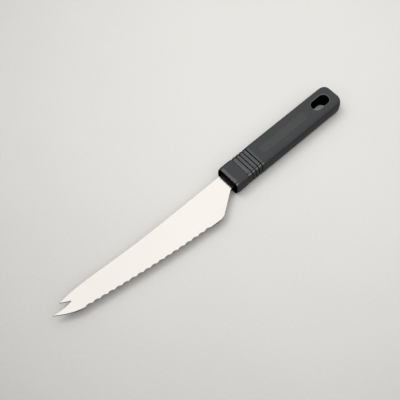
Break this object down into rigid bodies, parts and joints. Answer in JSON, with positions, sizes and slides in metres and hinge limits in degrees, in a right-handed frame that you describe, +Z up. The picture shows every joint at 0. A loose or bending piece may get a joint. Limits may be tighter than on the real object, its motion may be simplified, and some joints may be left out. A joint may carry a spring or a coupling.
{
  "type": "cheese knife",
  "caption": "Hard cheese knife: slim steel blade with a forked tip and scalloped edge, in a moulded handle with grip rings, a shallow bare recess and a hanging hole.",
  "frame": {"origin": "on the surface the knife lies on, under the middle of its box", "axes": "+X from the fork to the handle's end, +Y from the cutting edge to the spine, +Z up through the blade's thickness"},
  "size_m": [0.2858, 0.032, 0.0152],
  "materials": {
    "blade_steel": "bright satin, fine grind lines across the blade",
    "handle_plastic": "dark grey moulding with a fine matt grain",
    "core_plastic": "near-black matt moulding"
  },
  "bodies": {
    "root": {"blade": "blade_steel", "handle": "handle_plastic", "tang_core": "core_plastic"}
  },
  "joints": []
}
